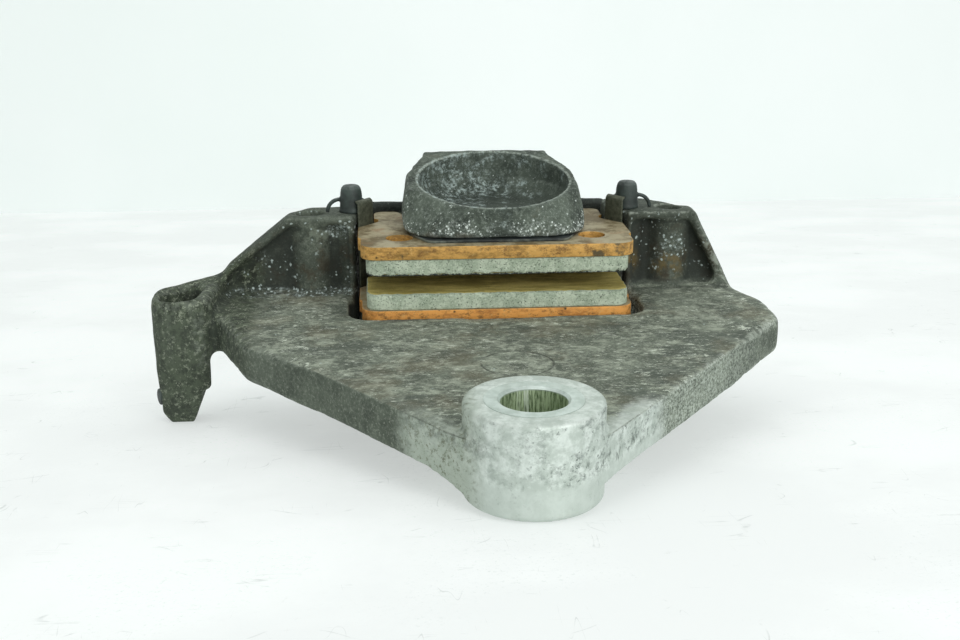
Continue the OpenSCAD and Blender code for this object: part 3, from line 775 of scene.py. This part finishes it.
def painted(piece, material):
    """Gives the piece this one material."""
    piece.data.materials.clear()
    piece.data.materials.append(material)


# ---- cast pieces --------------------------------------------------------------------

def bracket_softness(points):
    """Wide rounding on the casting, hardly any on the machined boss."""
    away = np.hypot(points[:, 0], points[:, 1])
    cast = 0.48 * ramp(away, BOSS_R + 0.5, BOSS_R + 4)
    foot = ramp(points[:, 0], -80, -86) * ramp(points[:, 2], 3, -1)
    return 0.01 + 0.01 * ramp(away, 15, 17) + cast * (1 - 0.7 * foot)


def bracket_flow(points):
    """Where the casting flows round in wide curves: the web's outer corners, the leg, and
    the towers' recesses."""
    x, y, z = points.T
    left = ramp(x, -58, -78) * ramp(z, 28, 24) * ramp(z, -2, 5)
    right = ramp(x, 66, 84) * ramp(z, 24, 20) * ramp(y, 40, 60)
    depth = ramp(y, 112, 117) * ramp(y, 131, 129.5)
    recess = ramp(z, 15, 17) * ramp(z, 43.2, 40) * depth
    recess *= np.where(x < 0, 0.9, 0.5 + 0.5 * ramp(z, 32, 25))
    return 0.6 * np.maximum(np.maximum(left, right), recess)


def bracket_relief(points, out, edge):
    """Uneven skin, chipped edges, and the shallow scoop in front of the window."""
    x, y = points[:, 0] / MM, points[:, 1] / MM
    cast = 0.15 + 0.85 * ramp(np.hypot(x, y), BOSS_R + 0.5, BOSS_R + 5)
    skin = 0.1 * bumps(points, 11, 1) + 0.07 * bumps(points, 3.4, 2)
    skin += 0.04 * bumps(points, 1.7, 3)
    chips = ramp(edge, 0.4, 1.0) * ramp(bumps(points, 3.0, 4), 0.25, 0.7)
    scoop = np.exp(-((x - 2) / 12) ** 4) * ramp(y, 86, 94) * ramp(out[:, 2], 0.3, 0.8)
    scoop = scoop * (y < 97)
    return skin * cast - 0.12 * chips * cast - 0.75 * scoop


def bracket():
    """The carrier: web, axle boss, two towers and torque leg."""
    piece = voxels("carrier_bracket", "bracket_casting", 0.5)
    weathered(piece, ((bracket_softness, 20), (bracket_flow, 75)), bracket_relief)
    painted(piece, bracket_material())
    stands_for(piece, "carrier_bracket")


def caliper_softness(points):
    """Wide rounding outside, little in the bores."""
    away = np.hypot(points[:, 0], points[:, 1] - PISTON_Y)
    inside = ramp(away, 22.5, 20.5) * ramp(points[:, 2], 14, 12)
    from_cup = np.hypot(points[:, 0] - CUP_X, points[:, 1] - CUP_Y)
    rim = ramp(np.abs(from_cup - CUP_R), 4.0, 2.5) * ramp(points[:, 2], 46, 48)
    rim *= 1 - inside
    return 0.6 - 0.45 * inside - 0.55 * rim


def caliper_relief(points, out, edge):
    """Lumpy skin with chipped edges, rougher on the arm than in the bores."""
    away = np.hypot(points[:, 0], points[:, 1] - PISTON_Y * MM) / MM
    cast = 1 - 0.9 * ramp(away, 24, 22) * ramp(points[:, 2] / MM, 14, 12)
    skin = 0.13 * bumps(points, 7, 11) + 0.1 * bumps(points, 2.6, 12)
    skin += 0.05 * bumps(points, 1.4, 13)
    chips = ramp(edge, 0.4, 1.0) * ramp(bumps(points, 2.4, 14), 0.2, 0.7)
    return (skin - 0.3 * chips) * cast


def lean_in(points):
    """Draws the arm's front corners in towards the cup's rim, more the higher they are."""
    x, y, z = points.T / MM
    from_cup = np.hypot(x - CUP_X, y - CUP_Y)
    rim_z = RIM_Z + RIM_SLOPE * (y - ARM_FRONT)
    limit = CUP_R + 2.0 + 0.7 * np.maximum(rim_z - z, 0) + 4 * ramp(y, 112, 125)
    drawn = np.minimum(from_cup, limit + 0.12 * (from_cup - limit))
    on_arm = (y < CUP_Y) & (z > ARM_Z)
    scale = np.where(on_arm, drawn / from_cup, 1)
    moved = points.copy()
    moved[:, 0] = CUP_X * MM + (points[:, 0] - CUP_X * MM) * scale
    moved[:, 1] = CUP_Y * MM + (points[:, 1] - CUP_Y * MM) * scale
    return moved


def caliper():
    """The caliper's body: arm, bridge and cylinder housing."""
    piece = voxels("caliper_body", "caliper_casting", 0.46)
    move_points(piece.data, lean_in(vectors(piece.data.vertices, "co")))
    weathered(piece, ((caliper_softness, 22),), caliper_relief)
    painted(piece, caliper_material())
    stands_for(piece, "caliper_body")


# ---- pads ---------------------------------------------------------------------------

def lining(side, worn_z, raggedness):
    """A lining whose rubbed face, at height worn_z, has a ragged rim."""
    def relief(points, out, edge):
        z = points[:, 2] / MM
        rim = ramp(np.abs(z - worn_z), 1.2, 0.1) * ramp(np.abs(out[:, 2]), 0.98, 0.7)
        bites = ramp(bumps(points, 1.9, 21), -0.1, 0.7)
        bites += 0.7 * ramp(bumps(points, 0.9, 22), 0.0, 0.7)
        skin = 0.05 * bumps(points, 1.2, 23) + 0.04 * bumps(points, 0.7, 24)
        return skin - raggedness * rim * bites

    piece = voxels(f"{side}_lining", f"{side}_lining_block", 0.36)
    weathered(piece, ((evenly(0.35), 3),), relief)
    painted(piece, lining_material(f"friction_{side}", worn_z, min(1.0, raggedness)))
    stands_for(piece, f"{side}_lining")


def pads():
    """Linings, copper-coloured backing plates, and the black shims behind them."""
    lining("outer", low("outer_lining").z, 1.1)
    lining("inner", high("inner_lining").z, 0.35)
    plates = {
        "outer": copper_material("copper_outer", srgb(108, 94, 62), srgb(208, 162, 88),
            srgb(140, 108, 54), 0.85),
        "inner": copper_material("copper_inner", srgb(140, 116, 80), srgb(224, 160, 82),
            srgb(176, 118, 58), 0.3)}
    sheet = shim_material()
    for side, copper in plates.items():
        plate = crafted(f"{side}_backing_plate", f"{side}_plate_stamped", 0.28, 3)
        painted(plate, copper)
        stands_for(plate, f"{side}_backing_plate")
        shim = crafted(f"{side}_shim", f"{side}_shim_sheet", 0.12)
        painted(shim, sheet)
        stands_for(shim, f"{side}_shim")


# ---- small parts --------------------------------------------------------------------

def sleeve():
    """The boss's steel sleeve, with its top edge spread over the casting."""
    lip, peened = 0.7, 0.3
    profile = [(BORE_R, 0), (SLEEVE_R, 0), (SLEEVE_R, BOSS_TOP - 2 * peened),
        (SLEEVE_R + peened, BOSS_TOP - peened), (SLEEVE_R + peened, BOSS_TOP),
        (BORE_R + lip, BOSS_TOP), (BORE_R, BOSS_TOP - lip)]
    piece = turned("sleeve_turned", profile, (0, 0, 0), steps=128)
    painted(piece, sleeve_material())
    stands_for(piece, "axle_sleeve")


def rubber_caps(rubber):
    """Soft moulded caps with their strap loops, on the slide pins' holes."""
    for side in ("left", "right"):
        piece = voxels(f"pin_cap_{side}", f"pin_cap_{side}_moulded", 0.24)
        weathered(piece, ((evenly(0.5), 5),),
            lambda points, out, edge: 0.03 * bumps(points, 2.0, 31))
        painted(piece, rubber)
        stands_for(piece, f"pin_cap_{side}")


def bellows(bottom, top, outer):
    """Outline of a thin-walled boot with round folds and a thicker lip at each end."""
    inner, wall, gap = 3.75, 0.7, 0.05
    folds, steps_per_fold = 3, 8
    pitch = (top - bottom - 2) / folds
    outside = [(inner, bottom + gap), (outer - 1, bottom + gap)]
    inside = []
    for step in range(folds * steps_per_fold + 1):
        height = bottom + 1 + step * pitch / steps_per_fold
        radius = outer - 0.5 - 0.5 * math.cos(2 * math.pi * step / steps_per_fold)
        outside.append((radius, height))
        inside.append((max(radius - wall, inner + 0.1), height))
    outside += [(outer, top - 0.9), (outer, top - gap), (inner, top - gap)]
    return outside + inside[::-1]


def boots(rubber):
    """Bellows that stretch between the caliper's lug and the bracket."""
    bottom, top = low("pin_boot_left").z, high("pin_boot_left").z
    outer = (high("pin_boot_left").x - low("pin_boot_left").x) / 2
    profile = bellows(bottom, top, outer)
    for side, x in (("left", -PIN_X), ("right", PIN_X)):
        piece = turned(f"pin_boot_{side}_bellows", profile, (x, PIN_Y, 0), steps=64)
        painted(piece, rubber)
        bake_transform(piece)
        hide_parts(f"pin_boot_{side}")


def metals():
    """Spring steel, zinc-plated steel, chrome and brass."""
    spring_steel = steel_material("spring_steel", srgb(62, 66, 54), srgb(96, 100, 84), 0.42,
        0.4, 0.2)
    zinc = steel_material("zinc_steel", srgb(128, 132, 130), srgb(190, 194, 190), 0.3, 0.8,
        0.5, TURNED)
    chrome = steel_material("piston_chrome", srgb(176, 180, 180), srgb(214, 217, 217), 0.14,
        0.95, 0.05, TURNED)
    brass = steel_material("brass_screw", srgb(140, 118, 66), srgb(196, 170, 102), 0.34, 0.8,
        0.2, TURNED)
    return spring_steel, zinc, chrome, brass


def small_parts():
    """Sleeve, rubber parts, clips, pins, piston with its seals, and bleed screw."""
    rubber = rubber_material()
    spring_steel, zinc, chrome, brass = metals()
    sleeve()
    rubber_caps(rubber)
    boots(rubber)
    made = {
        "leg_plug": ("leg_plug_button", 0.5, rubber),
        "pad_clip_left": ("pad_clip_left_strip", 0.12, spring_steel),
        "pad_clip_right": ("pad_clip_right_strip", 0.12, spring_steel),
        "pad_spring": ("pad_spring_leaf", 0.1, spring_steel),
        "slide_pin_left": ("slide_pin_left_ground", 0.25, zinc),
        "slide_pin_right": ("slide_pin_right_ground", 0.25, zinc),
        "pin_bolts": ("pin_bolts_pair", 0.35, zinc),
        "piston": ("piston_cup", 0.25, chrome),
        "piston_seal": ("piston_seal_ring", 0.15, rubber),
        "dust_seal": ("dust_seal_ring", 0.15, rubber),
        "bleed_screw": ("bleed_screw_nipple", 0.25, brass),
        "bleed_cap": ("bleed_cap_moulded", 0.6, rubber)}
    for node, (name, bevel, material) in made.items():
        piece = crafted(node, name, bevel)
        painted(piece, material)
        stands_for(piece, node)


# ---- studio -------------------------------------------------------------------------

FLOOR_SLOPE = -0.1496
FLOOR_EDGE = -18 * MM
FLOOR_GAP = 0.05 * MM


def floor_height(y):
    """The part rests tipped, on the boss's front edge, the leg and the cylinder."""
    return FLOOR_SLOPE * (y - FLOOR_EDGE) - FLOOR_GAP


def studio():
    """A white floor that the part rests on, and a white wall far behind."""
    front, back, half, wall_height = -0.11, 1.1, 1.6, 1.5
    near, far = floor_height(front), floor_height(back)
    sheets = {
        "studio_floor": (floor_material(), [(-half, front, near), (half, front, near),
            (half, back, far), (-half, back, far)]),
        "studio_wall": (wall_material(), [(-half, back, far), (half, back, far),
            (half, back, far + wall_height), (-half, back, far + wall_height)])}
    for name, (material, corners) in sheets.items():
        mesh = bpy.data.meshes.new(name)
        mesh.from_pydata(corners, [], [(0, 1, 2, 3)])
        piece = show(name, mesh)
        painted(piece, material)


def aimed(name, data, place, target):
    """A lamp or camera that stands at a place and points at the target."""
    holder = show(name, data)
    holder.location = place
    sight = Vector(target) - Vector(place)
    holder.rotation_euler = sight.to_track_quat("-Z", "Y").to_euler()
    return holder


def lamp(name, place, target, size, power):
    """A round soft lamp."""
    light = bpy.data.lights.new(name, "AREA")
    light.shape = "DISK"
    light.size = size
    light.energy = power
    aimed(name, light, place, target)


def lighting():
    """Even white light from all round, with three soft lamps."""
    world = bpy.data.worlds.new("studio_world")
    bpy.context.scene.world = world
    world.use_nodes = True
    background = world.node_tree.nodes["Background"]
    background.inputs["Color"].default_value = (0.965, 1.0, 0.985, 1.0)
    background.inputs["Strength"].default_value = 0.64
    centre = (0, 0.07, 0.02)
    lamp("overhead", (-0.15, 0.0, 0.8), centre, 0.6, 1.0)
    lamp("behind", (0.3, 0.7, 0.7), centre, 0.6, 0.7)
    lamp("front", (0.5, -1.0, 0.55), centre, 1.0, 9.0)
    bpy.context.scene.view_settings.view_transform = "Standard"


def camera():
    """The camera stands in front, a little to the left and above."""
    data = bpy.data.cameras.new("camera")
    data.lens = 48.75
    data.sensor_width = 36.0
    data.clip_start = 0.01
    place = Vector((-36.77, -299.28, 140.16)) * MM
    target = Vector((-8.27, 66.88, 25.0)) * MM
    bpy.context.scene.camera = aimed("camera", data, place, target)


bracket()
caliper()
pads()
small_parts()
studio()
lighting()
camera()
